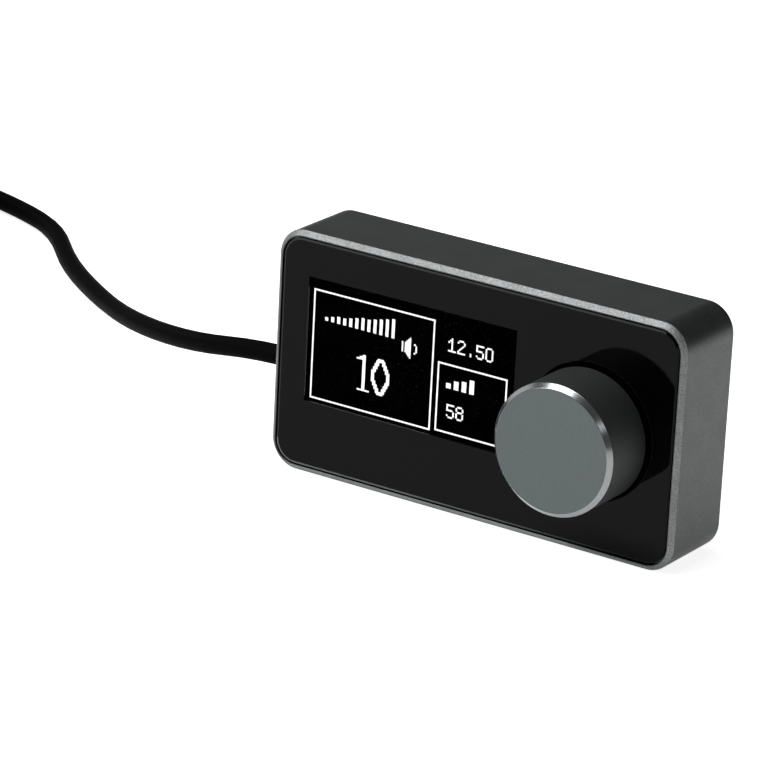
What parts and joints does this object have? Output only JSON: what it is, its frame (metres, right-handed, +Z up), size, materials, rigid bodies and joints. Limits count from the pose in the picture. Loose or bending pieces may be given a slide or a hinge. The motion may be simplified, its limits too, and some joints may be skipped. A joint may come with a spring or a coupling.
{
  "type": "amplifier remote control",
  "caption": "Wired amplifier remote: a small metal box with a glossy front, a pixel display and a push-and-turn knob, on a long round cable that ends in a modular plug.",
  "frame": {"origin": "under the middle of the housing and knob together, in the plane of the housing's lower side", "axes": "+X to the right seen from the front, +Y from the front to the back, +Z up; the front with the display and the knob faces -Y"},
  "size_m": [0.2516, 0.0918, 0.0384],
  "materials": {
    "housing_metal": "bead blasted and anodised dark grey",
    "knob_metal": "turned and anodised dark grey, bright bevelled edge",
    "panel_black": "clear sheet printed black behind, glossy",
    "display_sheet": "dark display glass with pale blue-white pixels",
    "clear_glue": "clear",
    "black_film": "black film and foam",
    "ribbon_film": "amber film",
    "chip_black": "moulded black",
    "socket_plastic": "moulded off-white",
    "board_green": "green solder mask",
    "screw_black": "black oxide steel",
    "encoder_steel": "plated steel sheet",
    "encoder_brass": "plain brass",
    "contact_metal": "tinned",
    "encoder_plastic": "moulded dark",
    "insert_plastic": "moulded black",
    "grommet_rubber": "satin black",
    "cable_jacket": "satin black cable jacket",
    "core_insulation": "coloured core insulation",
    "tie_plastic": "matt black",
    "plug_clear": "clear moulded plastic",
    "contact_gold": "gold flashed"
  },
  "bodies": {
    "remote": {"housing": "housing_metal", "front_panel": "panel_black", "panel_glue": "black_film", "display_glass": "display_sheet", "display_rear_glass": "display_sheet", "display_glue": "clear_glue", "display_foam": "black_film", "display_driver": "chip_black", "display_ribbon": "ribbon_film", "ribbon_socket": "socket_plastic", "main_board": "board_green", "board_screws": "screw_black", "processor": "chip_black", "board_chips": "chip_black", "rear_cover": "housing_metal", "cover_screws": "screw_black", "encoder_bush": "encoder_brass", "encoder_clip": "encoder_steel", "encoder_base": "encoder_plastic", "detent_spring": "encoder_steel", "switch_dome": "contact_metal", "encoder_terminals": "contact_metal", "bush_washer": "encoder_steel", "bush_nut": "encoder_steel", "cable_grommet": "grommet_rubber", "cable_tail": "cable_jacket", "inner_tie": "tie_plastic", "cable_cores": "core_insulation", "inner_plug": "socket_plastic", "board_socket": "socket_plastic", "cord_run": "cable_jacket", "cord_coil": "cable_jacket", "coil_ties": "tie_plastic", "plug_boot": "grommet_rubber", "plug_body": "plug_clear", "plug_contacts": "contact_gold"},
    "plunger": {"push_plunger": "encoder_plastic"},
    "dial": {"knob_cap": "knob_metal", "knob_insert": "insert_plastic", "collet_ring": "encoder_steel", "encoder_shaft": "encoder_brass", "encoder_rotor": "encoder_plastic"}
  },
  "joints": [
    {"name": "knob_push", "type": "slide", "parent": "remote", "child": "plunger", "axis": [0, 1, 0], "range_m": [0, 0.0005], "stiffness_N_per_m": 2000, "springref_m": -0.0008, "deforming": ["switch_dome"]},
    {"name": "knob_turn", "type": "hinge", "parent": "plunger", "child": "dial", "pos_m": [0.0206, 0, 0.019], "axis": [0, 1, 0], "continuous": true}
  ]
}
